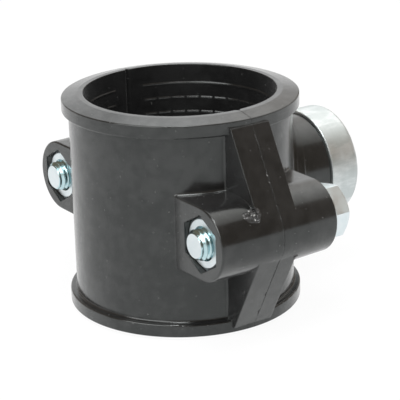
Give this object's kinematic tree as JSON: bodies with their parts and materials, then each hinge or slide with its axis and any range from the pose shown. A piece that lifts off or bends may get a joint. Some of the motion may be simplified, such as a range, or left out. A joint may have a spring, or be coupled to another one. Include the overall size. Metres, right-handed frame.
{
  "type": "clamp saddle",
  "caption": "Clamp saddle that bolts round a plastic pipe and gives it a threaded outlet at right angles.",
  "frame": {"origin": "where the pipe axis crosses the outlet axis, midway along the saddle", "axes": "+Z along the pipe, +X out of the threaded outlet, the two bolts on either side in Y and parallel to X"},
  "size_m": [0.0792, 0.0878, 0.0576],
  "materials": {
    "shell": "moulded, satin",
    "ring": "turned",
    "seal": "matte",
    "bolt": "zinc plated",
    "nut": "zinc plated",
    "washer": "zinc plated"
  },
  "bodies": {
    "branch_half": {"branch_shell": "shell", "reinforcing_ring": "ring", "port_seal": "seal", "front_washer": "washer", "back_washer": "washer"},
    "plain_half": {"plain_shell": "shell", "front_nut": "nut", "back_nut": "nut"},
    "front_bolt": {"front_bolt": "bolt"},
    "back_bolt": {"back_bolt": "bolt"}
  },
  "joints": [
    {"name": "front_bolt_turn", "type": "hinge", "parent": "branch_half", "child": "front_bolt", "pos_m": [0, -0.03385, 0], "axis": [1, 0, 0], "range_deg": [0, 2520]},
    {"name": "back_bolt_turn", "type": "hinge", "parent": "branch_half", "child": "back_bolt", "pos_m": [0, 0.03385, 0], "axis": [1, 0, 0], "range_deg": [0, 2520]},
    {"name": "plain_half_slide", "type": "slide", "parent": "branch_half", "child": "plain_half", "axis": [-1, 0, 0], "range_m": [0, 0.00875]}
  ],
  "couplings": [
    {"joint": "front_bolt_turn", "follows": "plain_half_slide", "rad_per_m": 5026.5},
    {"joint": "back_bolt_turn", "follows": "plain_half_slide", "rad_per_m": 5026.5}
  ]
}
